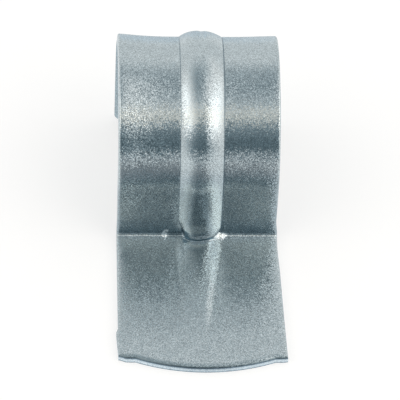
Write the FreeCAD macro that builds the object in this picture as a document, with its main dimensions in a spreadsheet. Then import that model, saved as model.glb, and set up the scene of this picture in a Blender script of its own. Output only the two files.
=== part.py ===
import FreeCAD, Part
import math
import os
import Sketcher
from FreeCAD import Vector

# One-piece strap that holds a half-inch steel conduit flat against a wall.
# It is one strip of zinc-coated sheet: a half-round hoop with a pressed rib along its crown, a free
# leg on the far side that ends at the wall, and a near leg that turns out into a flat flange.
# Frame: X runs along the conduit, Z points away from the wall, and the flange lies towards -Y.
# The origin is on the conduit's axis, half way across the strip. Millimetres.

SIZES = (
    ("conduit_radius", "8.965", "half the conduit's outside diameter, 17.93"),
    ("conduit_clearance", "0.1", "gap all round between the conduit and the hoop"),
    ("sheet_thickness", "0.9", "thickness of the sheet"),
    ("hoop_width", "18.25", "width of the strip over the conduit"),
    ("hoop_shift", "0.38", "how far the hoop's middle lies to -X of the rib's middle"),
    ("edge_flare", "0.27", "how far the strip's edges lift where the hoop is rolled"),
    ("flare_width", "4.1", "width of each lifted edge"),
    ("rib_height", "0.7", "how far the rib stands out of the strip"),
    ("rib_crown_width", "1.95", "flat top of the rib"),
    ("rib_foot_width", "4.95", "width of the rib where it leaves the strip"),
    ("rib_inner_radius", "0.2", "radius inside each shoulder of the rib"),
    ("rib_root_radius", "0.3", "radius outside, at the foot of the rib's flanks"),
    ("nose_height", "1.2", "centre of the rib's round end above the flange's top"),
    ("bend_radius", "0.35", "radius inside the bend between near leg and flange"),
    ("flange_width", "19.05", "width of the flange at its end corners"),
    ("flange_reach", "18.3", "near leg's outer face to the flange's end corners"),
    ("end_bow", "1.55", "how far the round end stands past the end corners"),
    ("shoulder_left", "1.95", "straight shoulder beside the round end, at -X"),
    ("shoulder_right", "1.4", "straight shoulder beside the round end, at +X"),
    ("web_leg", "1.0", "height and reach of the pressed web in the bend"),
    ("web_left", "4.2", "web's reach to -X"),
    ("web_right", "3.1", "web's reach to +X"),
    ("web_taper", "0.6", "length over which each end of the web runs out"),
    ("ridge_height", "0.25", "height of the flattened rib where the flange begins"),
    ("ridge_clearance", "3.2", "flat left between the flattened rib's run-out and the end corners"),
    ("ridge_foot_width", "4.7", "width of the flattened rib where the flange begins"),
    ("ridge_crown_width", "3.0", "its flat top there"),
    ("ridge_end_width", "3.2", "width of the flattened rib where it runs out"),
    ("burr_start", "4.5", "end corners back to the start of the burr at -X"),
    ("burr_peak", "3.8", "end corners back to the burr's highest point"),
    ("burr_end", "0.6", "end corners back to the burr's end"),
    ("burr_reach", "0.2", "how far the burr stands out of the flange's side"),
    ("rollover_radius", "0.2", "rounding of the sheared upper edge round the flange"),
    ("far_corner_radius", "0.8", "round corners of the free leg at the wall"),
)

doc = FreeCAD.newDocument("ConduitStrap")
sizes = doc.addObject("Spreadsheet::Sheet", "sizes")
for row, (alias, value, meaning) in enumerate(SIZES, start=1):
    sizes.set("A%d" % row, alias)
    sizes.set("B%d" % row, value)
    sizes.set("C%d" % row, meaning)
    sizes.setAlias("B%d" % row, alias)
doc.recompute()

strap = doc.addObject("PartDesign::Body", "strap")
strap.Label = "strap"

# Formulas that several sketches share. The wall lies at the underside of the conduit.
INNER = "(sizes.conduit_radius + sizes.conduit_clearance)"
OUTER = "(%s + sizes.sheet_thickness)" % INNER
WALL = "(-%s)" % INNER
FLANGE_TOP = "(%s + sizes.sheet_thickness)" % WALL
BEND_TOP = "(%s + sizes.bend_radius)" % FLANGE_TOP
NOSE_LEVEL = "(%s + sizes.nose_height)" % FLANGE_TOP
BED = "(sizes.sheet_thickness / 3)"
EDGE = {-1: "(-sizes.hoop_width / 2 - sizes.hoop_shift)", 1: "(sizes.hoop_width / 2 - sizes.hoop_shift)"}


def size(alias):
    """A size's present value."""
    return float(sizes.get(alias))


# The same levels as numbers, for the sketches' first geometry.
inner = size("conduit_radius") + size("conduit_clearance")
outer = inner + size("sheet_thickness")
top = size("sheet_thickness") - inner
bend = size("bend_radius")


def new_sketch(name, role, offset=None):
    """An empty sketch on one of the body's origin planes, or at an offset from it."""
    sketch = strap.newObject("Sketcher::SketchObject", name)
    plane = next(item for item in strap.Origin.OriginFeatures if item.Role == role)
    sketch.AttachmentSupport = [(plane, "")]
    sketch.MapMode = "FlatFace"
    if offset:
        sketch.setExpression(".AttachmentOffset.Base.z", offset)
    return sketch


def add_line(sketch, start, end):
    return sketch.addGeometry(Part.LineSegment(Vector(*start, 0), Vector(*end, 0)), False)


def add_arc(sketch, centre, start, end):
    """An arc about centre from start to end, the short way round."""
    first = math.atan2(start[1] - centre[1], start[0] - centre[0])
    last = math.atan2(end[1] - centre[1], end[0] - centre[0])
    if (last - first) % (2 * math.pi) > math.pi:
        first, last = last, first
    turn = (last - first) % (2 * math.pi)
    circle = Part.Circle(Vector(*centre, 0), Vector(0, 0, 1), math.dist(centre, start))
    return sketch.addGeometry(Part.ArcOfCircle(circle, first, first + turn), False)


def meet(sketch, first, second, kind="Coincident"):
    """Joins the ends of two edges that touch."""
    for i in (1, 2):
        for j in (1, 2):
            if sketch.getPoint(first, i).distanceToPoint(sketch.getPoint(second, j)) < 1e-4:
                sketch.addConstraint(Sketcher.Constraint(kind, first, i, second, j))
                return
    raise RuntimeError("edges %d and %d of %s don't touch" % (first, second, sketch.Name))


def end_near(sketch, edge, point):
    """The end of an edge that lies nearest to a point."""
    target = Vector(*point, 0)
    return min((1, 2), key=lambda end: sketch.getPoint(edge, end).distanceToPoint(target))


def hold(sketch, kind, where, value, formula):
    """A dimension that follows a formula of the sizes."""
    index = sketch.addConstraint(Sketcher.Constraint(kind, *where, value))
    sketch.setExpression("Constraints[%d]" % index, formula)


def hold_x(sketch, edge, end, formula):
    hold(sketch, "DistanceX", (-1, 1, edge, end), sketch.getPoint(edge, end).x, formula)


def hold_y(sketch, edge, end, formula):
    hold(sketch, "DistanceY", (-1, 1, edge, end), sketch.getPoint(edge, end).y, formula)


def polygon(sketch, corners):
    """A closed outline of straight edges whose corners are formulas of the sizes."""
    count = len(corners)
    rough = []
    for i in range(count):
        angle = 2 * math.pi * i / count
        rough.append((10 * math.cos(angle), 10 * math.sin(angle)))
    edges = [add_line(sketch, rough[i], rough[(i + 1) % count]) for i in range(count)]
    for i in range(count):
        sketch.addConstraint(Sketcher.Constraint("Coincident", edges[i], 2, edges[(i + 1) % count], 1))
    for edge, (across, up) in zip(edges, corners):
        hold_x(sketch, edge, 1, across)
        hold_y(sketch, edge, 1, up)
    return edges


def rib_flank(sketch, side, hand, depth):
    """One flank of the rib in section, from the crown's end to the strip.

    side is -1 at the near leg and 1 at the far leg, hand is -1 or 1 along X. depth is 0 for the
    outer skin and 1 for the inner skin. The edges come back in order, with their end points.
    """
    shoulder = size("rib_inner_radius") + size("sheet_thickness")
    root = size("rib_root_radius")
    crown = (hand * size("rib_crown_width") / 2, side * (outer + size("rib_height") - shoulder))
    foot = (hand * size("rib_foot_width") / 2, side * (outer + root))
    wide = abs(foot[0] - crown[0])
    tall = shoulder + root - size("rib_height")
    slope = math.atan2(wide, tall) - math.acos((shoulder + root) / math.hypot(wide, tall))
    lean = (hand * math.sin(slope), side * math.cos(slope))
    shoulder -= depth * size("sheet_thickness")
    root += depth * size("sheet_thickness")
    points = (
        (crown[0], crown[1] + side * shoulder),
        (crown[0] + shoulder * lean[0], crown[1] + shoulder * lean[1]),
        (foot[0] - root * lean[0], foot[1] - root * lean[1]),
        (foot[0], foot[1] - side * root),
    )
    upper = add_arc(sketch, crown, points[0], points[1])
    flank = add_line(sketch, points[1], points[2])
    lower = add_arc(sketch, foot, points[2], points[3])
    meet(sketch, upper, flank, "Tangent")
    meet(sketch, flank, lower, "Tangent")
    if depth == 0:
        hold(sketch, "Radius", (upper,), shoulder, "sizes.rib_inner_radius + sizes.sheet_thickness")
        hold(sketch, "Radius", (lower,), root, "sizes.rib_root_radius")
    else:
        hold(sketch, "Radius", (upper,), shoulder, "sizes.rib_inner_radius")
        hold(sketch, "Radius", (lower,), root, "sizes.rib_root_radius + sizes.sheet_thickness")
    return (upper, flank, lower), points


def band_section(name, side, offset, flared):
    """The sheet cut across the strip: the rib in the middle, flats beside it, edges that may lift."""
    sketch = new_sketch(name, "XY_Plane", offset)
    shift = size("hoop_shift")
    half = size("hoop_width") / 2
    start = half - size("flare_width")
    rise = size("edge_flare")
    radius = (rise ** 2 + size("flare_width") ** 2) / (2 * rise)
    turn = math.asin(size("flare_width") / radius)
    sign = "" if side > 0 else "-"
    crowns = []
    skins = {}
    for depth, level in ((0, outer), (1, inner)):
        ends = {}
        for hand in (-1, 1):
            flank, points = rib_flank(sketch, side, hand, depth)
            flat = add_line(sketch, points[3], (hand * start - shift, side * level))
            if flared:
                reach = radius + depth * size("sheet_thickness")
                tip = (
                    hand * (start + reach * math.sin(turn)) - shift,
                    side * (outer + radius - reach * math.cos(turn)),
                )
                edge = add_arc(
                    sketch, (hand * start - shift, side * (outer + radius)), (hand * start - shift, side * level), tip
                )
                meet(sketch, flat, edge, "Tangent")
            else:
                tip = (hand * half - shift, side * level)
                edge = add_line(sketch, (hand * start - shift, side * level), tip)
                meet(sketch, flat, edge)
                sketch.addConstraint(Sketcher.Constraint("Horizontal", edge))
            meet(sketch, flank[2], flat, "Tangent")
            sketch.addConstraint(Sketcher.Constraint("Horizontal", flat))
            ends[hand] = (flank, flat, edge, tip, points)
        crown = add_line(sketch, ends[-1][4][0], ends[1][4][0])
        meet(sketch, crown, ends[-1][0][0], "Tangent")
        meet(sketch, crown, ends[1][0][0], "Tangent")
        crowns.append(crown)
        skins[depth] = ends
    sketch.addConstraint(Sketcher.Constraint("Horizontal", crowns[0]))
    hold_y(sketch, crowns[0], 1, "%s(%s + sizes.rib_height)" % (sign, OUTER))
    for hand in (-1, 1):
        minus = "" if hand > 0 else "-"
        flare_start = "%s %s sizes.flare_width" % (EDGE[hand], "-" if hand > 0 else "+")
        flank, flat, edge, tip, points = skins[0][hand]
        flank_in, flat_in, edge_in, tip_in, points_in = skins[1][hand]
        sketch.addConstraint(Sketcher.Constraint("Coincident", flank[0], 3, flank_in[0], 3))
        sketch.addConstraint(Sketcher.Constraint("Coincident", flank[2], 3, flank_in[2], 3))
        hold_x(sketch, flank[0], 3, "%ssizes.rib_crown_width / 2" % minus)
        hold_x(sketch, flank[2], 3, "%ssizes.rib_foot_width / 2" % minus)
        hold_y(sketch, flat, end_near(sketch, flat, tip), "%s%s" % (sign, OUTER))
        hold_x(sketch, flat, end_near(sketch, flat, tip), flare_start)
        hold_x(sketch, edge, end_near(sketch, edge, tip), EDGE[hand])
        cut = add_line(sketch, tip, tip_in)
        meet(sketch, cut, edge)
        meet(sketch, cut, edge_in)
        if flared:
            hold_y(sketch, edge, end_near(sketch, edge, tip), "%s(%s + sizes.edge_flare)" % (sign, OUTER))
            sketch.addConstraint(Sketcher.Constraint("Coincident", edge, 3, edge_in, 3))
            sketch.addConstraint(Sketcher.Constraint("PointOnObject", edge, 3, cut))
        else:
            sketch.addConstraint(Sketcher.Constraint("Vertical", cut))
            end_in = end_near(sketch, flat_in, tip_in)
            hold_x(sketch, flat_in, end_in, flare_start)
    return sketch


def nose_profile(name, depth):
    """Half of the rib's section at the nose's centre, closed along the axis that it turns about."""
    sketch = new_sketch(name, "XY_Plane", NOSE_LEVEL)
    level = inner if depth else outer
    bed = size("sheet_thickness") / 3
    flank, points = rib_flank(sketch, -1, 1, depth)
    crown = add_line(sketch, (0, points[0][1]), points[0])
    drop = add_line(sketch, points[3], (points[3][0], bed - level))
    base = add_line(sketch, (points[3][0], bed - level), (0, bed - level))
    axis = add_line(sketch, (0, bed - level), (0, points[0][1]))
    meet(sketch, crown, flank[0], "Tangent")
    meet(sketch, flank[2], drop)
    meet(sketch, drop, base)
    meet(sketch, base, axis)
    meet(sketch, axis, crown)
    sketch.addConstraint(Sketcher.Constraint("Horizontal", crown))
    sketch.addConstraint(Sketcher.Constraint("Vertical", drop))
    sketch.addConstraint(Sketcher.Constraint("Horizontal", base))
    sketch.addConstraint(Sketcher.Constraint("PointOnObject", axis, 1, -2))
    sketch.addConstraint(Sketcher.Constraint("PointOnObject", axis, 2, -2))
    skin = OUTER if depth == 0 else INNER
    hold_x(sketch, flank[0], 3, "sizes.rib_crown_width / 2")
    hold_x(sketch, flank[2], 3, "sizes.rib_foot_width / 2")
    hold_x(sketch, drop, 1, "sizes.rib_foot_width / 2")
    hold_y(sketch, crown, 2, "-(%s + sizes.rib_height)" % skin)
    hold_y(sketch, flank[2], end_near(sketch, flank[2], points[3]), "-%s" % skin)
    hold_y(sketch, base, 1, "-(%s - %s)" % (skin, BED))
    return sketch


def add_feature(kind, name, profile):
    feature = strap.newObject("PartDesign::" + kind, name)
    feature.Profile = profile
    return feature


# The flange in plan: sides that spread a little, square shoulders and a round end. The side at -X
# keeps the low burr that the shears left near its end.
PLAN_START = "-(%s + sizes.bend_radius)" % OUTER
PLAN_END = "-(%s + sizes.flange_reach)" % OUTER
SIDE_LEFT = (
    "(" + EDGE[-1] + " - (sizes.flange_width / 2 + " + EDGE[-1] + ")"
    " * (sizes.flange_reach - sizes.%s - sizes.bend_radius) / (sizes.flange_reach - sizes.bend_radius))"
)
flange_plan = new_sketch("flange_plan", "XY_Plane", WALL)
start = -outer - size("bend_radius")
finish = -outer - size("flange_reach")
half = size("flange_width") / 2
left = size("shoulder_left") - half
right = half - size("shoulder_right")
plan_points = (
    (size("hoop_width") / 2 - size("hoop_shift"), start),
    (-size("hoop_width") / 2 - size("hoop_shift"), start),
    (-half, finish + size("burr_start")),
    (-half - size("burr_reach"), finish + size("burr_peak")),
    (-half, finish + size("burr_end")),
    (-half, finish),
    (left, finish),
)
plan = [add_line(flange_plan, plan_points[i], plan_points[i + 1]) for i in range(6)]
bow = size("end_bow")
chord = (right - left) / 2
sweep = (chord ** 2 + bow ** 2) / (2 * bow)
plan.append(add_arc(flange_plan, ((left + right) / 2, finish - bow + sweep), (left, finish), (right, finish)))
plan.append(add_line(flange_plan, (right, finish), (half, finish)))
plan.append(add_line(flange_plan, (half, finish), plan_points[0]))
for first, second in zip(plan, plan[1:] + plan[:1]):
    meet(flange_plan, first, second)
for edge, across, along in (
    (plan[0], EDGE[1], PLAN_START),
    (plan[1], EDGE[-1], PLAN_START),
    (plan[2], SIDE_LEFT % "burr_start", PLAN_END + " + sizes.burr_start"),
    (plan[3], (SIDE_LEFT % "burr_peak") + " - sizes.burr_reach", PLAN_END + " + sizes.burr_peak"),
    (plan[4], SIDE_LEFT % "burr_end", PLAN_END + " + sizes.burr_end"),
    (plan[5], "-sizes.flange_width / 2", PLAN_END),
):
    hold_x(flange_plan, edge, 1, across)
    hold_y(flange_plan, edge, 1, along)
hold_x(flange_plan, plan[5], 2, "sizes.shoulder_left - sizes.flange_width / 2")
flange_plan.addConstraint(Sketcher.Constraint("Horizontal", plan[5]))
hold_x(flange_plan, plan[7], 1, "sizes.flange_width / 2 - sizes.shoulder_right")
hold_x(flange_plan, plan[7], 2, "sizes.flange_width / 2")
hold_y(flange_plan, plan[7], 2, PLAN_END)
flange_plan.addConstraint(Sketcher.Constraint("Horizontal", plan[7]))
CHORD = "((sizes.flange_width - sizes.shoulder_left - sizes.shoulder_right) / 2)"
hold(
    flange_plan, "Radius", (plan[6],), sweep,
    "(%s * %s + sizes.end_bow * sizes.end_bow) / (2 * sizes.end_bow)" % (CHORD, CHORD),
)
flange = add_feature("Pad", "flange", flange_plan)
flange.setExpression("Length", "sizes.sheet_thickness")
doc.recompute()


def edge_names(shape, test):
    """Names of the edges whose points, from end to end, all pass a test."""
    names = []
    for number, edge in enumerate(shape.Edges, start=1):
        span = edge.LastParameter - edge.FirstParameter
        if all(test(edge.valueAt(edge.FirstParameter + span * i / 4)) for i in range(5)):
            names.append("Edge%d" % number)
    return names


# The shears round over the sheet's upper edge all round the flange, but not where the bend begins.
def on_top(point):
    return abs(point.z - top) < 1e-4


def at_bend(point):
    return abs(point.y + outer + bend) < 1e-4


rollover = strap.newObject("PartDesign::Fillet", "rollover")
inside = edge_names(flange.Shape, at_bend)
rollover.Base = (flange, [name for name in edge_names(flange.Shape, on_top) if name not in inside])
rollover.setExpression("Radius", "sizes.rollover_radius")
doc.recompute()

# The hoop: the section turned half round about the conduit's axis, over the crown.
near_section = band_section("near_section", -1, None, True)
hoop = add_feature("Revolution", "hoop", near_section)
hoop.ReferenceAxis = (near_section, ["H_Axis"])
hoop.Angle = 180
hoop.Reversed = True
doc.recompute()

# The near leg: the same section runs down to the rib's round end, and its lifted edges settle flat.
nose_section = band_section("nose_section", -1, NOSE_LEVEL, False)
near_leg = add_feature("AdditiveLoft", "near_leg", near_section)
near_leg.Sections = [nose_section]
near_leg.Ruled = True
doc.recompute()

# The free leg on the far side, straight down to the wall.
far_section = band_section("far_section", 1, None, True)
far_leg = add_feature("Pad", "far_leg", far_section)
far_leg.setExpression("Length", INNER)
far_leg.Reversed = True
doc.recompute()
# The foot of the near leg and the bend that turns it out, cut square to the strip.
foot_profile = new_sketch("foot_profile", "YZ_Plane", "-sizes.hoop_shift")
nose = top + size("nose_height")
centre = (-outer - bend, top + bend)
corners = (
    (-inner, nose),
    (-outer, nose),
    (-outer, top + bend),
    (-outer - bend, top),
    (-outer - bend, -inner),
    (-inner, top + bend),
)
foot_edges = [
    add_line(foot_profile, corners[0], corners[1]),
    add_line(foot_profile, corners[1], corners[2]),
    add_arc(foot_profile, centre, corners[2], corners[3]),
    add_line(foot_profile, corners[3], corners[4]),
    add_arc(foot_profile, centre, corners[4], corners[5]),
    add_line(foot_profile, corners[5], corners[0]),
]
for first, second, kind in (
    (0, 1, "Coincident"),
    (1, 2, "Tangent"),
    (2, 3, "Coincident"),
    (3, 4, "Coincident"),
    (4, 5, "Tangent"),
    (5, 0, "Coincident"),
):
    meet(foot_profile, foot_edges[first], foot_edges[second], kind)
foot_profile.addConstraint(Sketcher.Constraint("Horizontal", foot_edges[0]))
foot_profile.addConstraint(Sketcher.Constraint("Vertical", foot_edges[1]))
foot_profile.addConstraint(Sketcher.Constraint("Vertical", foot_edges[3]))
foot_profile.addConstraint(Sketcher.Constraint("Vertical", foot_edges[5]))
foot_profile.addConstraint(Sketcher.Constraint("Coincident", foot_edges[2], 3, foot_edges[4], 3))
hold_x(foot_profile, foot_edges[0], 1, "-%s" % INNER)
hold_y(foot_profile, foot_edges[0], 1, NOSE_LEVEL)
hold_x(foot_profile, foot_edges[0], 2, "-%s" % OUTER)
hold(foot_profile, "Radius", (foot_edges[2],), bend, "sizes.bend_radius")
hold_y(foot_profile, foot_edges[2], 3, BEND_TOP)
foot_profile.addConstraint(Sketcher.Constraint("PointOnObject", foot_edges[2], 3, foot_edges[3]))
foot = add_feature("Pad", "foot", foot_profile)
foot.Midplane = True
foot.setExpression("Length", "sizes.hoop_width")
doc.recompute()

# The rib's round end, a flat-topped cone that runs down into the bend.
nose_outline = nose_profile("nose_outline", 0)
nose_bump = add_feature("Revolution", "nose", nose_outline)
nose_bump.ReferenceAxis = (nose_outline, ["V_Axis"])
nose_bump.Angle = 180
doc.recompute()

# The web pressed into the bend on both sides of the nose, a slope of 45 degrees whose ends run out.
web_sections = []
for name, offset, leg in (
    ("web_left_tip", "-sizes.web_left", "sizes.web_leg / 20"),
    ("web_left_full", "-(sizes.web_left - sizes.web_taper)", "sizes.web_leg"),
    ("web_right_full", "sizes.web_right - sizes.web_taper", "sizes.web_leg"),
    ("web_right_tip", "sizes.web_right", "sizes.web_leg / 20"),
):
    section = new_sketch(name, "YZ_Plane", offset)
    polygon(section, (
        ("-(%s - %s)" % (OUTER, BED), "%s - %s" % (FLANGE_TOP, BED)),
        ("-(%s - %s)" % (OUTER, BED), "%s + %s" % (FLANGE_TOP, leg)),
        ("-%s" % OUTER, "%s + %s" % (FLANGE_TOP, leg)),
        ("-(%s + %s)" % (OUTER, leg), FLANGE_TOP),
        ("-(%s + %s)" % (OUTER, leg), "%s - %s" % (FLANGE_TOP, BED)),
    ))
    web_sections.append(section)
web = add_feature("AdditiveLoft", "web", web_sections[0])
web.Sections = web_sections[1:]
web.Ruled = True
doc.recompute()


def ridge_section(name, offset, foot_width, crown_width, height, low, high):
    """Six-sided section of the flattened rib. low and high are the bed's and the skin's levels."""
    section = new_sketch(name, "XZ_Plane", offset)
    polygon(section, (
        ("-%s / 2" % foot_width, low),
        ("%s / 2" % foot_width, low),
        ("%s / 2" % foot_width, high),
        ("%s / 2" % crown_width, "%s + %s" % (high, height)),
        ("-%s / 2" % crown_width, "%s + %s" % (high, height)),
        ("-%s / 2" % foot_width, high),
    ))
    return section


# The rib carries on along the flange, flattened by the press, and dies out before the end.
RIDGE_END_CROWN = "(sizes.ridge_end_width * sizes.ridge_crown_width / sizes.ridge_foot_width)"
RIDGE_BED = "%s - %s" % (FLANGE_TOP, BED)
RIDGE_STOP = "%s + sizes.flange_reach - sizes.ridge_clearance" % OUTER
ridge_start = ridge_section(
    "ridge_start", OUTER + " + sizes.bend_radius", "sizes.ridge_foot_width", "sizes.ridge_crown_width",
    "sizes.ridge_height", RIDGE_BED, FLANGE_TOP,
)
ridge_finish = ridge_section(
    "ridge_finish", RIDGE_STOP, "sizes.ridge_end_width", RIDGE_END_CROWN,
    "0 * sizes.ridge_height", RIDGE_BED, FLANGE_TOP,
)
ridge = add_feature("AdditiveLoft", "ridge", ridge_start)
ridge.Sections = [ridge_finish]
ridge.Ruled = True
doc.recompute()

# Under the bend the nose's cone is cut back to the sheet's own inner skin.
under_profile = new_sketch("under_profile", "YZ_Plane")
far = -outer - bend - size("rib_height")
low = -inner - size("nose_height")
under_points = (
    (-inner, top + bend),
    (-outer - bend, -inner),
    (far, -inner),
    (far, low),
    (-inner, low),
)
under_edges = [add_arc(under_profile, centre, under_points[0], under_points[1])]
for first, second in zip(under_points[1:], under_points[2:] + under_points[:1]):
    under_edges.append(add_line(under_profile, first, second))
meet(under_profile, under_edges[0], under_edges[1], "Tangent")
meet(under_profile, under_edges[1], under_edges[2])
meet(under_profile, under_edges[2], under_edges[3])
meet(under_profile, under_edges[3], under_edges[4])
meet(under_profile, under_edges[4], under_edges[0], "Tangent")
under_profile.addConstraint(Sketcher.Constraint("Horizontal", under_edges[1]))
under_profile.addConstraint(Sketcher.Constraint("Vertical", under_edges[2]))
under_profile.addConstraint(Sketcher.Constraint("Horizontal", under_edges[3]))
under_profile.addConstraint(Sketcher.Constraint("Vertical", under_edges[4]))
hold_x(under_profile, under_edges[0], 3, "-(%s + sizes.bend_radius)" % OUTER)
hold_y(under_profile, under_edges[0], 3, BEND_TOP)
hold_x(under_profile, under_edges[4], 1, "-%s" % INNER)
hold_x(under_profile, under_edges[2], 1, "-(%s + sizes.bend_radius + sizes.rib_height)" % OUTER)
hold_y(under_profile, under_edges[3], 1, "%s - sizes.nose_height" % WALL)
under = add_feature("Pocket", "under_trim", under_profile)
under.Midplane = True
under.setExpression("Length", "sizes.rib_foot_width + 2 * sizes.rib_root_radius")
doc.recompute()

# The same press marks from the back: the rib's hollow ends round, with a dimple behind the web and a
# fading hollow under the flattened rib.
hollow_outline = nose_profile("hollow_outline", 1)
hollow = add_feature("Groove", "nose_hollow", hollow_outline)
hollow.ReferenceAxis = (hollow_outline, ["V_Axis"])
hollow.Angle = 180
doc.recompute()

# The dimple leaves the web as thick as the sheet.
DIMPLE = "(%s + %s + sizes.web_leg - sizes.sheet_thickness * sqrt(2))" % (OUTER, FLANGE_TOP)
dimple_profile = new_sketch("dimple_profile", "YZ_Plane", "(sizes.web_right - sizes.web_left) / 2")
polygon(dimple_profile, (
    ("-%s" % INNER, WALL),
    ("-(%s + %s)" % (INNER, DIMPLE), WALL),
    ("-%s" % INNER, "%s + %s" % (WALL, DIMPLE)),
))
dimple = add_feature("Pocket", "web_dimple", dimple_profile)
dimple.Midplane = True
dimple.setExpression("Length", "sizes.web_left + sizes.web_right - 2 * sizes.web_taper")
doc.recompute()

under_start = ridge_section(
    "under_start", OUTER + " + sizes.bend_radius", "(sizes.ridge_foot_width - %s)" % BED,
    "(sizes.ridge_crown_width - %s)" % BED, "sizes.ridge_height", "%s - %s" % (WALL, BED), WALL,
)
under_finish = ridge_section(
    "under_finish", RIDGE_STOP, "(sizes.ridge_end_width - %s)" % BED,
    "(%s - %s)" % (RIDGE_END_CROWN, BED), "0 * sizes.ridge_height", "%s - %s" % (WALL, BED), WALL,
)
under_ridge = add_feature("SubtractiveLoft", "ridge_hollow", under_start)
under_ridge.Sections = [under_finish]
under_ridge.Ruled = True
doc.recompute()

# The free leg's corners are rounded where it meets the wall.
def on_far_corner(point):
    across = abs(point.x + size("hoop_shift"))
    return point.y > 0 and abs(point.z + inner) < 1e-4 and across > size("hoop_width") / 2 - 1e-4


far_corners = strap.newObject("PartDesign::Fillet", "far_corners")
far_corners.Base = (under_ridge, edge_names(under_ridge.Shape, on_far_corner))
far_corners.setExpression("Radius", "sizes.far_corner_radius")
doc.recompute()


# Every step is checked before anything is written: each feature worked, each sketch is fully held, and
# each one changed the volume the way it should.
previous = 0.0
for item in doc.Objects:
    if "Invalid" in item.State or "Error" in item.State:
        raise RuntimeError("%s failed" % item.Name)
    if item.TypeId == "Sketcher::SketchObject" and not item.FullyConstrained:
        raise RuntimeError("%s isn't fully held" % item.Name)
    if item.isDerivedFrom("PartDesign::Feature"):
        change = item.Shape.Volume - previous
        cuts = item.Name in ("under_trim", "nose_hollow", "web_dimple", "ridge_hollow", "far_corners", "rollover")
        if (change < 0) != cuts or abs(change) < 0.01:
            raise RuntimeError("%s changed the volume by %.3f" % (item.Name, change))
        print("%-14s %+10.3f mm3" % (item.Name, change))
        previous = item.Shape.Volume
if strap.Shape.isNull() or not strap.Shape.isValid() or len(strap.Shape.Solids) != 1:
    raise RuntimeError("the strap isn't one sound solid")

os.makedirs("parts", exist_ok=True)
strap.Shape.exportStep("parts/%s.step" % strap.Label)
box = strap.Shape.optimalBoundingBox()
print("strap %.2f x %.2f x %.2f mm, %.1f mm3" % (box.XLength, box.YLength, box.ZLength, strap.Shape.Volume))
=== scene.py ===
import math

import bpy
import numpy as np
from mathutils import Matrix, Vector, noise


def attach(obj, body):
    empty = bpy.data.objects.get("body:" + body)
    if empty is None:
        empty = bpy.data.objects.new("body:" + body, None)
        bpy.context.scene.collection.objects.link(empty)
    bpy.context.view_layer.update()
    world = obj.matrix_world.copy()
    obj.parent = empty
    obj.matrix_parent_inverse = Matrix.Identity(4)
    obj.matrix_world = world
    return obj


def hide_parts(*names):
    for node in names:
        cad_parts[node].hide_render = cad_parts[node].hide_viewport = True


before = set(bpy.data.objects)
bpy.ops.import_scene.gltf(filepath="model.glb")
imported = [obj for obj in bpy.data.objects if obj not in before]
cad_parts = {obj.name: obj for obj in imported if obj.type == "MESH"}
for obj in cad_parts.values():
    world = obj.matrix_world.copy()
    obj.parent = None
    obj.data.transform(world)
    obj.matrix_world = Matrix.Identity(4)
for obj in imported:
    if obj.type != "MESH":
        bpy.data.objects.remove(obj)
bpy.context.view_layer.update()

# Sizes in millimetres. The rib's middle is at X = 0, the conduit's axis lies along X, and the flange points
# to -Y. Left is -X.
MM = 0.001
INNER = 9.065
SHEET = 0.9
OUTER = INNER + SHEET
TOP = SHEET - INNER
STRIP = 18.25
SHIFT = 0.38
LEFT = -STRIP / 2 - SHIFT
RIGHT = STRIP / 2 - SHIFT
FLARE_START = 3.0
FLARE_LEFT = 0.376
FLARE_RIGHT = 0.169
FAR_CORNER = 0.8
RIB_HEIGHT = 0.7
RIB_FOOT = 4.9 / 2
NOSE = TOP + 2.5
BEND = 0.35
REACH = 18.4
FLANGE_HALF = 19.05 / 2
BOW = 1.45
SHOULDER_LEFT = 1.95
SHOULDER_RIGHT = 1.4
ROLLOVER = 0.2
END_ROLL = 0.24

# How closely the skin's grid of points is spaced, across the strip and along it.
ROLL_COLUMNS = range(0, 91, 15)
PLAIN_COLUMNS = 13
PLAIN_MARGIN = 0.45
FINE_LEFT = -4.45
FINE_RIGHT = 3.5
FINE_STEP = 0.1
FOOT_SPAN = 0.21
FOOT_STEP = 0.035
FAR_STARTS = [0.0, 0.006, 0.02, 0.045]
FAR_EVEN = 0.08
FAR_STEPS = 27
HOOP_STEPS = 150
LEG_STEPS = 28
NOSE_STEPS = 27
BEND_STEPS = 16
NEAR_STEPS = 20
FLANGE_STEPS = 55
ROLL_ANGLES = range(90, -1, -10)


def smooth(x, low, high):
    """0 below low, 1 above high, and a smooth step between."""
    t = np.clip((x - low) / (high - low), 0.0, 1.0)
    return t * t * (3 - 2 * t)


def bump(x, middle, width):
    """A bell curve, 1 at its middle."""
    return np.exp(-(((x - middle) / width) ** 2))


def columns():
    """Places across the strip, close together at the rolled edges, at the web and at the rib's feet."""
    roll = [ROLLOVER * (1 - math.cos(math.radians(angle))) for angle in ROLL_COLUMNS]
    found = [LEFT + inward for inward in roll] + [RIGHT - inward for inward in roll]
    found += list(np.linspace(LEFT + PLAIN_MARGIN, FINE_LEFT - 0.15, PLAIN_COLUMNS))
    found += list(np.linspace(FINE_RIGHT + 0.1, RIGHT - PLAIN_MARGIN, PLAIN_COLUMNS))
    fine = np.arange(FINE_LEFT, FINE_RIGHT, FINE_STEP)
    found += [x for x in fine if abs(abs(x) - RIB_FOOT) > FOOT_SPAN + 0.03]
    for foot in (-RIB_FOOT, RIB_FOOT):
        found += [foot + x for x in np.arange(-FOOT_SPAN, FOOT_SPAN + 0.01, FOOT_STEP)]
    found += [(SHOULDER_LEFT - FLANGE_HALF) * LEFT / -FLANGE_HALF]
    found += [(FLANGE_HALF - SHOULDER_RIGHT) * RIGHT / FLANGE_HALF]
    return np.array(sorted(set(round(float(x), 5) for x in found)))


# What each column knows of its place: across the strip, from the nearest edge, and from the rib's crest.
ACROSS = columns()
EDGE = np.minimum(ACROSS - LEFT, RIGHT - ACROSS)
FROM_CREST = np.abs(ACROSS) / RIB_FOOT


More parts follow.
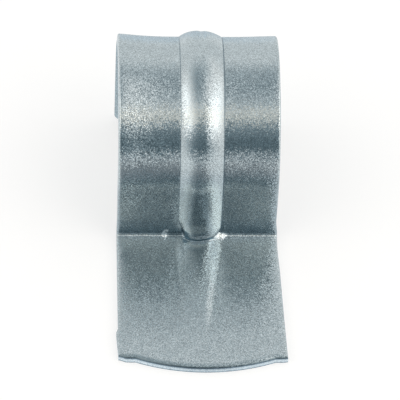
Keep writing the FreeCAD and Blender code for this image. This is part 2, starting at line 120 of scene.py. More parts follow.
# The rib's arch, as powers: the higher, the flatter the crown and the steeper the sides. FLATTER is what
# the leg's flat crown adds, and FOOT_BLEND rounds the corner at the rib's foot.
ARCH_LEFT = 2.5
ARCH_RIGHT = 2.1
FLATTER_LEFT = 1.0
FLATTER_RIGHT = 0.8
FOOT_BLEND = 0.02


def rib_height(reach, flat=0.0):
    """The rib's height. reach is 0 at its crest and 1 at its feet, and flat is 1 for the flattest crown."""
    power = np.where(ACROSS < 0, ARCH_LEFT + FLATTER_LEFT * flat, ARCH_RIGHT + FLATTER_RIGHT * flat)
    inside = RIB_HEIGHT * (1 - np.minimum(reach, 1.0) ** power)
    outside = -RIB_HEIGHT * power * (reach - 1)
    height = np.where(reach < 1, inside, outside)
    rounded = 0.5 * (height + np.sqrt(height * height + FOOT_BLEND**2))
    return np.where(reach < 1.5, rounded, 0.0)


def flare(fade):
    """How far the strip's edges lift where the hoop is rolled."""
    length = STRIP / 2 - FLARE_START
    left = FLARE_LEFT * np.clip((-ACROSS - SHIFT - FLARE_START) / length, 0, 1) ** 2
    right = FLARE_RIGHT * np.clip((ACROSS + SHIFT - FLARE_START) / length, 0, 1) ** 2
    return (left + right) * fade


def leg_fade(part):
    """How much of the flare is left on the near leg. part runs from 0 at the hoop to 1 at the nose."""
    return 1 - smooth(part, 0.2, 1.3)


# The near leg leans out a little, and the flange rises to the bend. FADE is how soon this dies out.
FOOT_LEAN = 0.05
FOOT_LEAN_FADE = 0.9
LEG_LEAN = 0.11
RISE = 0.36
RISE_FADE = 1.4


def lean(height):
    """How far the leg leans out at a height above the flange."""
    return FOOT_LEAN * np.exp(-height / FOOT_LEAN_FADE) + LEG_LEAN * np.clip((-TOP - height) / -TOP, 0, 1)


def rise(out):
    """How far the flange still rises towards the bend, at distance out from the leg."""
    return RISE * np.exp(-out / RISE_FADE)


# The ridge. Its left slope runs straight, and its right slope turns in and tightens with each millimetre
# out. It starts low at the leg, lowest at the left, is fullest a little way out, and has a dimple there.
RIDGE_HEIGHT = 0.36
RIDGE_STOP = 15.1
RIDGE_FADE = 2.4
LEFT_SLOPE = (1.65, 2.95)
RIGHT_SLOPE = 2.0
RIGHT_TURN = 0.1
RIGHT_HALF = 0.95
RIGHT_TIGHTEN = 0.035
START_LOW = 0.85
START_RIGHT = 0.45
START_FADE = 1.6
FULLER = 0.2
FULLEST = 3.0
FULL_SPAN = 2.6
LEFT_LOWER = 0.15
DIMPLE = 0.05
DIMPLE_X = -0.6
DIMPLE_OUT = 1.8


def ridge(out, x):
    """Height of the flattened rib on the flange at distance out from the leg."""
    middle = RIGHT_SLOPE - RIGHT_TURN * out
    half = RIGHT_HALF - RIGHT_TIGHTEN * out
    arch = 1 - smooth(-x, *LEFT_SLOPE) - smooth(x, middle - half, middle + half)
    start = 1 - (START_LOW - START_RIGHT * smooth(x, -0.5, 1.5)) * bump(out, 0, START_FADE)
    lower = 1 - LEFT_LOWER * smooth(-x, -0.4, 1.7)
    full = 1 - np.clip(out / RIDGE_STOP, 0, 1) ** RIDGE_FADE
    full = full * (1 + FULLER * bump(out, FULLEST, FULL_SPAN))
    dimple = DIMPLE * bump(x, DIMPLE_X, 0.7) * bump(out, DIMPLE_OUT, 0.8)
    return RIDGE_HEIGHT * full * start * arch * lower - dimple


# The web, 0 to 1 at each side of the nose, and the nose's round end. TALL and DEEP are how far the bend's
# curve reaches up the leg and out on the flange, and LOW is how high the flange lies where the curve ends.
WEB_LEFT = smooth(ACROSS, -3.9, -3.2) * (1 - smooth(ACROSS, -1.75, -1.3))
WEB_RIGHT = (1 - smooth(ACROSS, 2.5, 3.2)) * smooth(ACROSS, 1.6, 2.3)
NOSE_MIDDLE = 0.1
NOSE_HALF = 2.0
NOSE_DRAW = 0.27
NOSE_BULGE = 0.28
ROUND_END = np.sqrt(np.clip(1 - ((ACROSS - NOSE_MIDDLE) / NOSE_HALF) ** 2, 0, 1))
TALL = BEND + 0.1 * WEB_LEFT + 0.15 * WEB_RIGHT - NOSE_DRAW * ROUND_END
DEEP = BEND - 0.05 * WEB_LEFT + 0.3 * WEB_RIGHT - NOSE_DRAW * ROUND_END
LOW = ridge(DEEP, ACROSS) + rise(DEEP)

# Painted shade, 0 to 1: on the near leg's middle and the rib's crown, but hardly on a band just right of
# the rib's middle. UNDER_NOSE and BELOW_NOSE are a painted dark line round the nose, on the bend and flange.
LEG_SHADE_DEPTH = 0.3
LEG_SHADE_MIDDLE = -1.6
CROWN_SHADE_DEPTH = 0.26
UNSHADED_SHARE = 0.85
UNSHADED_BAND = smooth(ACROSS, 0.9, 1.5) * (1 - smooth(ACROSS, 2.2, 2.6))
LEG_PAINTED_SHADE = LEG_SHADE_DEPTH * (1 - smooth(np.abs(ACROSS - LEG_SHADE_MIDDLE), 4.5, 9.0)) * (1 - UNSHADED_SHARE * UNSHADED_BAND)
CROWN_PAINTED_SHADE = CROWN_SHADE_DEPTH * (1 - smooth(np.abs(ACROSS), 0.6, 1.2))
UNDER_NOSE = smooth(1.9 - np.abs(ACROSS - NOSE_MIDDLE), 0.0, 0.6)
BELOW_NOSE = smooth(2.3 - np.abs(ACROSS - NOSE_MIDDLE), 0.0, 0.6) * (1 - smooth(ACROSS, 0.2, 1.2))

# How far the strip's left edge draws in and its right edge stands out, on each stretch. Both fade in from
# TRIM_START on either side of the rib. FLANGE_DRAW_IN is for each millimetre out.
TRIM_START = 2.8
FAR_DRAW_IN = 0.06
NEAR_DRAW_IN = 0.1
NOSE_DRAW_IN = 0.05
FLANGE_DRAW_IN = 0.003
HOOP_LET_OUT = 0.03
BEND_LET_OUT = 0.16
rows = []


def add_row(x, y, z, edge=EDGE, trim=(0.0, 0.0), painted_shade=0.0):
    """Add a row of points. trim draws in the left edge and lets out the right one. The last value is painted
    shade, darkening the zinc.
    """
    x = x + trim[0] * smooth(-x, TRIM_START, -LEFT) + trim[1] * smooth(x, TRIM_START, RIGHT)
    rows.append(np.stack([np.broadcast_to(values, x.shape) for values in (x, y, z, edge, painted_shade)], 1))


def far_leg():
    """The leg at the back, from its free end up to the hoop, with two round corners."""
    left_corner = np.clip(FAR_CORNER - (ACROSS - LEFT), 0, FAR_CORNER)
    right_corner = np.clip(FAR_CORNER - (RIGHT - ACROSS), 0, FAR_CORNER)
    corner = left_corner + right_corner
    end = FAR_CORNER - INNER - np.sqrt(np.maximum(FAR_CORNER**2 - corner**2, 0))
    y = OUTER + flare(1.0) + rib_height(FROM_CREST)
    for part in FAR_STARTS + list(np.linspace(FAR_EVEN, 1, FAR_STEPS)[:-1]):
        z = end * (1 - part)
        add_row(ACROSS, y, z, np.minimum(EDGE, z - end), (FAR_DRAW_IN, HOOP_LET_OUT))


# The hoop, by degrees from the near side over the top: a slight swell and a nick across the rib's crest.
SWELL = 0.055
SWELL_ANGLE = 130
SWELL_SPAN = 24
CREST_NICK = 0.11
CREST_NICK_ANGLE = 136
CREST_NICK_SPAN = 26


def crest_nick(angle):
    """Depth of the small nick that crosses the rib's crest on the hoop's far side."""
    along = np.clip((CREST_NICK_ANGLE - angle) / CREST_NICK_SPAN, -0.3, 1.2)
    depth = CREST_NICK * smooth(along, -0.25, 0.05) * (1 - smooth(along, 0.5, 1.1))
    return depth * bump(ACROSS, 0.1 + 0.3 * along, 0.26 - 0.1 * along)


def hoop():
    """The half-round hoop, from the far leg over the top to the near leg."""
    plain = OUTER + flare(1.0) + rib_height(FROM_CREST)
    for angle in np.linspace(180, 0, HOOP_STEPS + 1)[:-1]:
        radius = plain - crest_nick(angle) + SWELL * bump(angle, SWELL_ANGLE, SWELL_SPAN)
        turn = math.radians(angle)
        draw_in = (NEAR_DRAW_IN + FAR_DRAW_IN) / 2 + (NEAR_DRAW_IN - FAR_DRAW_IN) / 2 * math.cos(turn)
        y = -radius * math.cos(turn)
        add_row(ACROSS, y, radius * math.sin(turn), trim=(draw_in, HOOP_LET_OUT))


def near_leg():
    """The near leg down to the nose. The lifted edges settle flat, and the rib's crown grows flatter."""
    for part in np.linspace(0, 1, LEG_STEPS + 1)[:-1]:
        z = NOSE * part
        rib = rib_height(FROM_CREST, smooth(part, 0.0, 0.5))
        y = -(OUTER + flare(leg_fade(part)) + rib + lean(z - TOP))
        trim = (NEAR_DRAW_IN + (NOSE_DRAW_IN - NEAR_DRAW_IN) * part, HOOP_LET_OUT * (1 - part))
        # Painted shade on the near leg's middle and the rib's crown, from a little below the hoop.
        painted_shade = smooth(part, -0.1, 0.2) * (LEG_PAINTED_SHADE + 1.2 * CROWN_PAINTED_SHADE)
        add_row(ACROSS, y, z, trim=trim, painted_shade=painted_shade)


# The nose. NOSE_FALL is how far its feet draw in, as a share of RIB_FOOT. The nicks lie beside the web.
NOSE_FALL = 0.26
LEFT_NICK = 0.19
LEFT_NICK_X = -3.85
RIGHT_NICK = 0.03
RIGHT_NICK_X = 2.76
NOSE_SHADE_WIDTH = 0.09


def web_nicks(level):
    """Two small nicks at the web, one on each side of the nose, at a level above the bend's curve."""
    left = LEFT_NICK * bump(ACROSS, LEFT_NICK_X - 0.5 * (1 - level) ** 2, 0.17)
    right = RIGHT_NICK * bump(ACROSS, RIGHT_NICK_X, 0.14)
    return left * smooth(1.1 - level, 0.0, 0.5) + right * smooth(2.0 - level, 0.0, 1.2)


def nose_painted_shade(part, reach):
    """Painted shade at the nose: dark lines along its feet and under its left half, and the near leg's
    painted shade.
    """
    foot = bump((reach - 1) * RIB_FOOT, 0, NOSE_SHADE_WIDTH) * np.where(ACROSS < 0, 0.6, 0.9)
    under = smooth(reach, 0.5, 0.8) * (1 - smooth(reach, 1.0, 1.1))
    under = 0.95 * under * smooth(-ACROSS, -0.6, 1.0) * smooth(part, 0.5, 0.75)
    leg_shade = (LEG_PAINTED_SHADE + CROWN_PAINTED_SHADE) * (1 - 0.6 * part)
    return np.maximum(np.maximum(foot, under), leg_shade)


def nose():
    """The rib's round end on the leg, down to where each column's curve into the bend starts."""
    right_share = smooth(ACROSS, -1.0, 1.0)
    for part in np.linspace(0, 1, NOSE_STEPS):
        z = NOSE + part * (TOP + LOW + TALL - NOSE)
        fall = np.clip((NOSE - z) / (NOSE - TOP - 0.3), 0, 1.2)
        reach = FROM_CREST + NOSE_FALL * (fall * (1 - right_share) + fall**4 * right_share)
        sheet = flare(leg_fade(1.0)) * (1 - part) + lean(z - TOP) + web_nicks(z - TOP - LOW)
        bulge = NOSE_BULGE * ROUND_END * part**4
        y = -(OUTER + sheet + rib_height(reach, 1.0) + bulge)
        trim = (NOSE_DRAW_IN * (1 - part), BEND_LET_OUT * part**2)
        add_row(ACROSS, y, z, trim=trim, painted_shade=nose_painted_shade(part, reach))


def bend():
    """The curve between leg and flange: an arc, flattened towards its chord in the web."""
    leg_y = rows[-1][:, 1]
    chord = np.maximum(0.15 * WEB_LEFT, 0.8 * WEB_RIGHT)
    # Painted shade on the bend: the dark line round the nose, and a fainter one in the left web.
    painted_shade = np.maximum(np.maximum(UNDER_NOSE, BELOW_NOSE), 0.5 * WEB_LEFT)
    for part in np.linspace(0, 1, BEND_STEPS + 1)[1:]:
        turn = part * math.pi / 2
        y = leg_y - DEEP * ((1 - math.cos(turn)) * (1 - chord) + part * chord)
        z = TOP + LOW + TALL * ((1 - math.sin(turn)) * (1 - chord) + (1 - part) * chord)
        add_row(ACROSS, y, z, trim=(0.0, BEND_LET_OUT), painted_shade=painted_shade)


# The flange spreads to END_X. Its corners are worn, and a burr stands at its left edge. LET_OUT is how far
# the right edge stands out at each distance from the leg, and STRAIGHT_LINE is Y of a line across it.
END_X = np.where(ACROSS < 0, ACROSS * FLANGE_HALF / -LEFT, ACROSS * FLANGE_HALF / RIGHT)
WORN_LEFT = 0.32
WORN_RIGHT = 0.08
BURR = 0.2
BURR_START = REACH - 4.5
BURR_FULL = REACH - 3.8
BURR_LENGTH = 3.2
LET_OUT_AT = (0.4, 2, 5.5, 10, 13, 18)
LET_OUT = (BEND_LET_OUT, 0.09, 0.12, 0.07, 0.03, 0.0)
STRAIGHT_LINE = -OUTER - 3.0
ROLL_MARGIN = 0.08


def flange_end():
    """Y of the flange's end in each column: two shoulders and a bowed middle, worn at the corners."""
    half = (2 * FLANGE_HALF - SHOULDER_LEFT - SHOULDER_RIGHT) / 2
    from_middle = END_X - (SHOULDER_LEFT - SHOULDER_RIGHT) / 2
    radius = (half**2 + BOW**2) / (2 * BOW)
    arc = np.sqrt(np.maximum(radius**2 - from_middle**2, 0)) - (radius - BOW)
    bow = np.where(np.abs(from_middle) < half, np.maximum(arc, 0), 0.0)
    worn = WORN_LEFT * smooth(-ACROSS, -LEFT - 1.0, -LEFT) + WORN_RIGHT * smooth(ACROSS, RIGHT - 0.6, RIGHT)
    return -OUTER - REACH - bow + worn


def flange_row(y, edge):
    """One row across the flange. edge is how far each of its points is from the sheet's edge."""
    out = -y - OUTER
    spread = np.clip((out - BEND) / (REACH - BEND), 0, 1)
    x = ACROSS + (END_X - ACROSS) * spread
    burr = BURR * smooth(out, BURR_START, BURR_FULL) * (1 - np.clip((out - BURR_FULL) / BURR_LENGTH, 0, 1))
    x = x - burr * smooth(-ACROSS, -LEFT - 0.9, -LEFT)
    let_out = np.interp(out.mean(), LET_OUT_AT, LET_OUT)
    # Painted shade close to the leg: beside the left web, and the dark line below the nose.
    web_painted_shade = 0.25 * WEB_LEFT * np.exp(-(out - BEND) / 0.6)
    nose_line = 0.9 * BELOW_NOSE * np.exp(-out / 0.4)
    z = TOP + ridge(out, x) + rise(out)
    add_row(x, y, z, edge, (FLANGE_DRAW_IN * out.mean(), let_out), np.maximum(web_painted_shade, nose_line))


def flange():
    """The flange, to the straight line and on to its bowed end, whose upper edge is rolled over."""
    start = rows[-1][:, 1]
    end = flange_end()
    for part in np.linspace(0, 1, NEAR_STEPS + 1)[1:]:
        flange_row(start + (STRAIGHT_LINE - start) * part, EDGE)
    for part in np.linspace(0, 1, FLANGE_STEPS + 1)[1:]:
        flange_row(STRAIGHT_LINE + (end + END_ROLL + ROLL_MARGIN - STRAIGHT_LINE) * part, EDGE)
    for angle in ROLL_ANGLES:
        gap = END_ROLL * (1 - math.cos(math.radians(angle)))
        flange_row(end + gap, np.minimum(EDGE, gap * ROLLOVER / END_ROLL))


far_leg()
hoop()
near_leg()
creased_rows = len(rows)
nose()
bend()
flange()
grid = np.array(rows)

# What the outer skin adds to the true form: edges that droop, creases at the rib's feet, and slight waves.
EDGE_DROOP = 0.035
EDGE_DROOP_SPAN = 0.55
WIDE_DROOP = 0.02
WIDE_DROOP_SPAN = 1.5
CREASE_DEPTH = 0.03
CREASE_WIDTH = 0.06
CREASE_OFFSET = 0.03
CREASE_LEFT = 0.6
CREASE_RIGHT = 0.85
WAVE = 0.012
WAVE_LENGTH = 3.2
FINE_WAVE = 0.0025
FINE_LENGTH = 0.9
FINE_OFFSET = Vector((7, 3, 1))

# The cut edges get rings of points at these shares of the sheet's thickness. Painted shade darkens the last
# rows of the outer side, on the rolled top of the flange's end, and the last row of the inner side is a
# painted contact shadow along the end's lower edge.
CUT_RINGS = (0.5, 0.78)
END_ROWS = 7
END_PAINTED_SHADE = 0.7
UNDER_PAINTED_SHADE = 0.8
SHARP_ANGLE = math.radians(50)


def unit_normals(points):
    """Unit normals of a grid of points, out of the sheet's outer side."""
    normals = np.cross(np.gradient(points, axis=0), np.gradient(points, axis=1))
    return normals / np.linalg.norm(normals, axis=2, keepdims=True)


def crease_lines():
    """The creases at the rib's two feet, on the hoop and both legs."""
    right = bump(ACROSS, RIB_FOOT + CREASE_OFFSET, CREASE_WIDTH)
    left = bump(ACROSS, -RIB_FOOT - CREASE_OFFSET, CREASE_WIDTH)
    lines = np.zeros(grid.shape[:2])
    lines[:creased_rows] = CREASE_RIGHT * right + CREASE_LEFT * left
    return lines


def waves(points):
    """The sheet's slight unevenness, as a height at each point."""
    heights = np.zeros(points.shape[:2])
    for row, column in np.ndindex(heights.shape):
        place = Vector(points[row, column])
        fine = noise.noise(place / FINE_LENGTH + FINE_OFFSET)
        heights[row, column] = WAVE * noise.noise(place / WAVE_LENGTH) + FINE_WAVE * fine
    return heights


def surface_drop(points, edge, creases):
    """How far the outer skin lies below the true form: rounded edges, creases and waves."""
    arc = ROLLOVER - np.sqrt(np.maximum(ROLLOVER**2 - (ROLLOVER - edge) ** 2, 0))
    drop = np.where(edge < ROLLOVER, arc, 0.0)
    drop += EDGE_DROOP * np.clip(1 - edge / EDGE_DROOP_SPAN, 0, 1)
    drop += WIDE_DROOP * np.clip(1 - edge / WIDE_DROOP_SPAN, 0, 1) ** 2
    drop += CREASE_DEPTH * creases
    return drop + (waves(points) + WAVE + FINE_WAVE) * smooth(edge, 0.0, 0.4)


def rim(row_count, column_count):
    """The grid's border as (row, column) pairs, once round."""
    around = [(0, column) for column in range(column_count)]
    around += [(row, column_count - 1) for row in range(1, row_count)]
    around += [(row_count - 1, column) for column in range(column_count - 2, -1, -1)]
    around += [(row, 0) for row in range(row_count - 2, 0, -1)]
    return around


def skin_faces(row_count, column_count, ring_count):
    """Faces of the outer skin, the inner skin, and the rings of wall between them."""
    size = row_count * column_count
    faces = []
    for row in range(row_count - 1):
        for column in range(column_count - 1):
            a = row * column_count + column
            b, c, d = a + 1, a + 1 + column_count, a + column_count
            faces.append((a, d, c, b))
            faces.append((a + size, b + size, c + size, d + size))
    border = [row * column_count + column for row, column in rim(row_count, column_count)]
    count = len(border)
    rings = [border]
    rings += [range(2 * size + ring * count, 2 * size + (ring + 1) * count) for ring in range(ring_count)]
    rings += [[size + index for index in border]]
    for upper, lower in zip(rings, rings[1:]):
        for here in range(count):
            after = (here + 1) % count
            faces.append((upper[here], upper[after], lower[after], lower[here]))
    return faces


def on_wall(points):
    """Points that would lie below the wall that the strap is fixed to, raised onto it."""
    raised = points.copy()
    raised[..., 2] = np.maximum(raised[..., 2], -INNER)
    return raised


def add_values(mesh, name, values):
    """A value at each of the mesh's points, for the material to read."""
    mesh.attributes.new(name, "FLOAT", "POINT").data.foreach_set("value", values)


def build_strap():
    """The strap as one closed skin: the outer side, the inner side and the cut edges between them."""
    points = grid[:, :, :3]
    normals = unit_normals(points)
    creases = crease_lines()
    outside = points - normals * surface_drop(points, grid[:, :, 3], creases)[:, :, None]
    inside = on_wall(points - normals * SHEET)
    border_rows, border_columns = np.transpose(rim(*grid.shape[:2]))
    rings = [(points - normals * SHEET * share)[border_rows, border_columns] for share in CUT_RINGS]
    walls = [on_wall(ring) for ring in rings]
    verts = np.concatenate([outside.reshape(-1, 3), inside.reshape(-1, 3)] + walls) * MM
    mesh = bpy.data.meshes.new("strap_skin")
    mesh.from_pydata([tuple(v) for v in verts], [], skin_faces(*grid.shape[:2], len(CUT_RINGS)))
    mesh.update()

    size = creases.size
    shear = np.zeros(len(verts))
    shear[2 * size:] = 1.0
    add_values(mesh, "shear", shear)
    # Painted shade: the creases at the rib's feet are darkened as well as cut in, together with the rows' own
    # painted shade, the flange end's rolled top and a painted contact shadow along its lower edge.
    dark = np.maximum(creases, grid[:, :, 4])
    dark[-END_ROWS:] = END_PAINTED_SHADE
    painted_shade = np.zeros(len(verts))
    painted_shade[:size] = dark.ravel()
    painted_shade[2 * size - len(ACROSS):2 * size] = UNDER_PAINTED_SHADE
    add_values(mesh, "painted_shade", painted_shade)

    obj = bpy.data.objects.new("strap_skin", mesh)
    bpy.context.scene.collection.objects.link(obj)
    for polygon in mesh.polygons:
        polygon.use_smooth = True
    mesh.set_sharp_from_angle(angle=SHARP_ANGLE)
    return obj


# Shader nodes. An input is a number, a colour or another node's output.
WHITE = (1.0, 1.0, 1.0, 1.0)


def add(tree, kind, operation=None, values=()):
    """A node, with numbers set on its first sockets."""
    node = tree.nodes.new("ShaderNode" + kind)
    if operation:
        node.operation = operation
    for socket, value in zip(node.inputs, values):
        if value is not None:
            socket.default_value = value
    return node


def feed(tree, socket, value):
    """Set a socket to a number or a colour, or link an output to it."""
    if isinstance(value, (int, float, tuple)):
        socket.default_value = value
    else:
        tree.links.new(value, socket)


def math_node(tree, operation, *inputs):
    """A calculation on numbers and outputs."""
    node = add(tree, "Math", operation)
    for socket, value in zip(node.inputs, inputs):
        feed(tree, socket, value)
    return node.outputs[0]


def share_node(tree, value, low, high):
    """0 where value is below low, 1 above high, and in a straight line between."""
    node = add(tree, "MapRange")
    node.inputs["From Min"].default_value = low
    node.inputs["From Max"].default_value = high
    tree.links.new(value, node.inputs["Value"])
    return node.outputs["Result"]


def ramp_node(tree, value, stops):
    """A ramp of grey or coloured stops, each (place, level or colour)."""
    node = add(tree, "ValToRGB")
    elements = node.color_ramp.elements
    while len(elements) > 1:
        elements.remove(elements[-1])
    for index, (place, level) in enumerate(stops):
        item = elements[0] if index == 0 else elements.new(place)
        item.position = place
        colour = level if isinstance(level, tuple) else (level, level, level)
        item.color = (*colour, 1)
    tree.links.new(value, node.inputs["Fac"])
    return node.outputs["Color"]


def blend(tree, factor, first, second, kind="MIX"):
    """A mix of two colours, or with kind MULTIPLY their product."""
    node = add(tree, "Mix")
    node.data_type = "RGBA"
    node.blend_type = kind
    for index, value in ((0, factor), (6, first), (7, second)):
        feed(tree, node.inputs[index], value)
    return node.outputs[2]


def mix_shaders(tree, kind, first, second):
    """The second shader for rays of one kind, the first for all others."""
    node = add(tree, "MixShader")
    tree.links.new(add(tree, "LightPath").outputs[kind], node.inputs[0])
    tree.links.new(first.outputs[0], node.inputs[1])
    tree.links.new(second.outputs[0], node.inputs[2])
    return node


# The zinc: its colour in two tones, the cut steel at the edges, and the colour of the painted shade in
# creases and dark lines.
CRYSTALS = 13500.0
PATCHES = 420.0
ZINC_TONES = [(0.3, (0.515, 0.585, 0.615)), (0.7, (0.545, 0.615, 0.645))]
CRYSTAL_CONTRAST = 0.64
CRYSTAL_DARKEST = 0.68
CUT_STEEL = (0.83, 0.89, 0.93, 1.0)
PAINTED_SHADE_COLOUR = (0.12, 0.2, 0.25, 1.0)
ROUGHNESS = 0.09
PATCH_ROUGHNESS = 0.07
CUT_ROUGHNESS = 0.2
CRYSTAL_TILT = 0.2


def grade(tree, name):
    """A value that the mesh holds at its points."""
    node = add(tree, "Attribute")
    node.attribute_name = name
    return node.outputs["Fac"]


def zinc_colour(tree, crystals, patches):
    """Blue-grey in faint patches, each crystal lighter or darker, and darker again with painted shade in
    creases, round the nose, at the flange's end and on the near leg.
    """
    channels = add(tree, "SeparateXYZ")
    tree.links.new(crystals, channels.inputs[0])
    level = math_node(tree, "MULTIPLY_ADD", channels.outputs["X"], CRYSTAL_CONTRAST, CRYSTAL_DARKEST)
    tint = blend(tree, grade(tree, "shear"), ramp_node(tree, patches, ZINC_TONES), CUT_STEEL)
    tint = blend(tree, 1.0, tint, level, "MULTIPLY")
    shade = blend(tree, grade(tree, "painted_shade"), WHITE, PAINTED_SHADE_COLOUR)
    return blend(tree, 1.0, tint, shade, "MULTIPLY")


def crystal_normal(tree, crystals):
    """The surface's normal, tilted a little another way in each crystal."""
    centred = add(tree, "VectorMath", "SUBTRACT", [None, (0.5, 0.5, 0.5)])
    tree.links.new(crystals, centred.inputs[0])
    tilt = add(tree, "VectorMath", "SCALE")
    tilt.inputs["Scale"].default_value = CRYSTAL_TILT
    tree.links.new(centred.outputs[0], tilt.inputs[0])
    facet = add(tree, "VectorMath", "ADD")
    tree.links.new(add(tree, "NewGeometry").outputs["Normal"], facet.inputs[0])
    tree.links.new(tilt.outputs[0], facet.inputs[1])
    unit = add(tree, "VectorMath", "NORMALIZE")
    tree.links.new(facet.outputs[0], unit.inputs[0])
    return unit.outputs[0]


def zinc_material():
    """Zinc coating: blue-grey metal with fine crystals and faint, larger patches."""
    material = bpy.data.materials.new("zinc_steel")
    material.use_nodes = True
    tree = material.node_tree
    place = add(tree, "TexCoord").outputs["Object"]
    crystals = add(tree, "TexVoronoi")
    crystals.inputs["Scale"].default_value = CRYSTALS
    tree.links.new(place, crystals.inputs["Vector"])
    patches = add(tree, "TexNoise")
    patches.inputs["Scale"].default_value = PATCHES
    patches.inputs["Detail"].default_value = 3.0
    tree.links.new(place, patches.inputs["Vector"])
    rough = math_node(tree, "MULTIPLY_ADD", patches.outputs["Fac"], PATCH_ROUGHNESS, ROUGHNESS)
    rough = math_node(tree, "MULTIPLY_ADD", grade(tree, "shear"), CUT_ROUGHNESS, rough)
    colour = zinc_colour(tree, crystals.outputs["Color"], patches.outputs["Fac"])
    shader = tree.nodes["Principled BSDF"]
    shader.inputs["Metallic"].default_value = 1.0
    tree.links.new(colour, shader.inputs["Base Color"])
    tree.links.new(rough, shader.inputs["Roughness"])
    tree.links.new(crystal_normal(tree, crystals.outputs["Color"]), shader.inputs["Normal"])
    return material


strap = build_strap()
strap.data.materials.append(zinc_material())
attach(strap, "root")
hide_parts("strap")

# Camera: the photograph's viewing angle, with a long lens and a small roll. PIXELS is the photograph's
# width, and CENTRE is the pixel at which the point that the camera is aimed at is seen.
AZIMUTH = math.radians(-3.118)
ELEVATION = math.radians(46.672)
ROLL = math.radians(2.497)
DISTANCE = 489.7
FOCAL_PIXELS = 4210.4
PIXELS = 400
CENTRE = (194.07, 172.52)
SENSOR = 36
NEAREST = 0.01


def add_camera():
    """The camera, aimed at the hoop's middle, at the height of the flange's upper face."""
    sideways = math.cos(ELEVATION)
    back = Vector((math.sin(AZIMUTH) * sideways, -math.cos(AZIMUTH) * sideways, math.sin(ELEVATION)))
    right = (-back).cross(Vector((0, 0, 1))).normalized()
    up = right.cross(-back)
    turned_right = right * math.cos(ROLL) + up * math.sin(ROLL)
    turned_up = up * math.cos(ROLL) - right * math.sin(ROLL)
    turn = Matrix((turned_right, turned_up, back)).transposed().to_4x4()
    place = Vector((-SHIFT, 0, TOP)) + back * DISTANCE

    data = bpy.data.cameras.new("camera")
    data.sensor_width = SENSOR
    data.lens = FOCAL_PIXELS / PIXELS * SENSOR
    data.shift_x = (PIXELS / 2 - CENTRE[0]) / PIXELS
    data.shift_y = (CENTRE[1] - PIXELS / 2) / PIXELS
    data.clip_start = NEAREST
    camera = bpy.data.objects.new("camera", data)
    bpy.context.scene.collection.objects.link(camera)
    camera.matrix_world = Matrix.Translation(place * MM) @ turn
    bpy.context.scene.camera = camera


add_camera()

# Floor. To the camera it is pale, with the strap's shadow. In the metal its level varies from front to
# back, with stops of (Y in millimetres, level), and it turns plain from SIDES_START to SIDES_FULL, in metres.
FLOOR_HALF = 3.0
FLOOR_SPAN = 400
FLOOR_LEVELS = [
    (-200, 0.45), (-110, 0.28), (-78, 0.24), (-49, 0.25), (-38, 0.29), (-31.2, 0.38),
    (-30.8, 0.85), (-28, 0.85), (-26, 0.55), (20, 0.7), (70, 0.78), (200, 0.82),
]
FLOOR_TINT = (0.86, 0.965, 1.035, 1.0)
FLOOR_SIDES = (0.92, 0.93, 0.92, 1.0)
SIDES_START = 0.004
SIDES_FULL = 0.026
FLOOR_GREY = 0.5
FLOOR_GLOW = 0.56


def mirrored_floor(tree):
    """The floor as the metal shows it."""
    split = add(tree, "SeparateXYZ")
    tree.links.new(add(tree, "NewGeometry").outputs["Position"], split.inputs[0])
    along = math_node(tree, "MULTIPLY_ADD", split.outputs["Y"], 1 / (FLOOR_SPAN * MM), 0.5)
    level = ramp_node(tree, along, [(y / FLOOR_SPAN + 0.5, value) for y, value in FLOOR_LEVELS])
    colour = blend(tree, 1.0, level, FLOOR_TINT, "MULTIPLY")
    aside = share_node(tree, math_node(tree, "ABSOLUTE", split.outputs["X"]), SIDES_START, SIDES_FULL)
    glow = add(tree, "Emission")
    tree.links.new(blend(tree, aside, colour, FLOOR_SIDES), glow.inputs["Color"])
    return glow


def floor_material():
    """Pale and matt, and brighter to the camera alone, so that it looks white and keeps the shadow."""
    material = bpy.data.materials.new("floor")
    material.use_nodes = True
    tree = material.node_tree
    tree.nodes.clear()
    diffuse = add(tree, "BsdfDiffuse", values=[(FLOOR_GREY, FLOOR_GREY, FLOOR_GREY, 1)])
    glow = add(tree, "Emission", values=[WHITE])
    seen = math_node(tree, "MULTIPLY", add(tree, "LightPath").outputs["Is Camera Ray"], FLOOR_GLOW)
    tree.links.new(seen, glow.inputs["Strength"])
    both = add(tree, "AddShader")
    tree.links.new(diffuse.outputs[0], both.inputs[0])
    tree.links.new(glow.outputs[0], both.inputs[1])
    surface = mix_shaders(tree, "Is Glossy Ray", both, mirrored_floor(tree))
    tree.links.new(surface.outputs[0], add(tree, "OutputMaterial").inputs["Surface"])
    return material


def build_floor():
    """A flat floor at the height of the wall that the strap is fixed to."""
    mesh = bpy.data.meshes.new("floor")
    corners = [(x * FLOOR_HALF, y * FLOOR_HALF, 0) for x, y in ((-1, -1), (1, -1), (1, 1), (-1, 1))]
    mesh.from_pydata(corners, [], [(0, 1, 2, 3)])
    obj = bpy.data.objects.new("floor", mesh)
    obj.location = (0, 0, -INNER * MM)
    bpy.context.scene.collection.objects.link(obj)
    return obj


floor = build_floor()
floor.data.materials.append(floor_material())

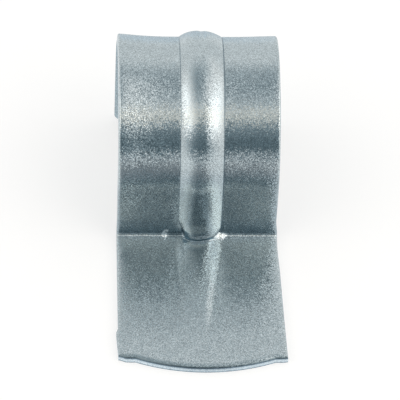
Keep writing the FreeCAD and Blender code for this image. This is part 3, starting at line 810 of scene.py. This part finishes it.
# Studio: soft light by direction. Each lobe is (X of the direction, levels at ANGLES), and ANGLES are
# degrees from the front horizon over the top to the back one.
ANGLES = (0, 3, 7, 14, 24, 34, 44, 50, 54, 66, 80, 95, 110, 125, 136, 150, 180)
STOPS = [angle / 180 for angle in ANGLES]
EVEN = (0.85,) * len(ANGLES)
LOBES = [
    (-0.95, EVEN),
    (-0.75, (
        0.9, 0.8, 0.75, 0.7, 0.7, 0.9, 1.6, 1.75, 1.65,
        1.8, 1.9, 1.8, 1.3, 1.0, 0.9, 0.85, 0.82,
    )),
    (-0.48, (
        0.8, 0.5, 0.4, 0.35, 0.4, 0.7, 1.7, 1.8, 1.5,
        1.25, 1.0, 0.9, 0.85, 0.8, 0.9, 0.85, 0.82,
    )),
    (-0.16, (
        0.9, 0.34, 0.24, 0.18, 0.2, 0.3, 0.38, 0.7, 0.92,
        0.79, 0.54, 0.36, 0.44, 0.6, 0.88, 0.82, 0.8,
    )),
    (0.04, (
        0.9, 0.3, 0.2, 0.16, 0.18, 0.27, 0.28, 0.54, 0.89,
        0.7, 0.46, 0.38, 0.42, 0.58, 0.88, 0.82, 0.8,
    )),
    (0.22, (
        0.95, 0.36, 0.28, 0.22, 0.24, 0.31, 0.4, 0.76, 0.94,
        0.83, 0.82, 0.94, 0.75, 0.64, 0.88, 0.82, 0.8,
    )),
    (0.48, (
        0.9, 0.7, 0.55, 0.6, 0.85, 1.3, 1.9, 2.1, 2.0,
        1.9, 1.3, 1.1, 1.0, 1.0, 1.05, 0.82, 0.8,
    )),
    (0.75, (
        1.0, 0.9, 0.9, 0.9, 1.1, 1.35, 1.6, 1.85, 1.95,
        1.95, 1.75, 1.75, 1.4, 1.1, 0.95, 0.85, 0.82,
    )),
    (0.95, EVEN),
]
DIM_IS_BLUE = [(0.1, (0.62, 0.91, 1.05)), (0.5, (0.89, 0.985, 1.02)), (1.0, (1.03, 1.0, 0.97))]
WARM_LAMP = [(46 / 180, (1, 1, 1)), (57 / 180, (1.05, 0.97, 0.86)), (68 / 180, (1, 1, 1))]


def studio_colour(tree):
    """The studio's light in each direction, blended from lobe to lobe. Dim parts are bluer."""
    split = add(tree, "SeparateXYZ")
    tree.links.new(add(tree, "TexCoord").outputs["Generated"], split.inputs[0])
    x, y, z = split.outputs
    height = math_node(tree, "ARCTAN2", z, math_node(tree, "MULTIPLY", y, -1.0))
    height = math_node(tree, "DIVIDE", height, math.pi)
    places = [place for place, levels in LOBES]
    ramps = [ramp_node(tree, height, list(zip(STOPS, levels))) for place, levels in LOBES]
    colour = ramps[0]
    for low, high, ramp in zip(places, places[1:], ramps[1:]):
        colour = blend(tree, share_node(tree, x, low, high), colour, ramp)
    colour = blend(tree, 1.0, colour, ramp_node(tree, colour, DIM_IS_BLUE), "MULTIPLY")
    return blend(tree, 1.0, colour, ramp_node(tree, height, WARM_LAMP), "MULTIPLY")


def add_studio():
    """The world: studio light on the strap, and white where the camera sees past the floor."""
    world = bpy.data.worlds.new("studio")
    world.use_nodes = True
    tree = world.node_tree
    tree.nodes.clear()
    light = add(tree, "Background")
    tree.links.new(studio_colour(tree), light.inputs["Color"])
    seen = mix_shaders(tree, "Is Camera Ray", light, add(tree, "Background", values=[WHITE]))
    tree.links.new(seen.outputs[0], add(tree, "OutputWorld").inputs["Surface"])
    bpy.context.scene.world = world


add_studio()
bpy.context.scene.view_settings.view_transform = "Standard"
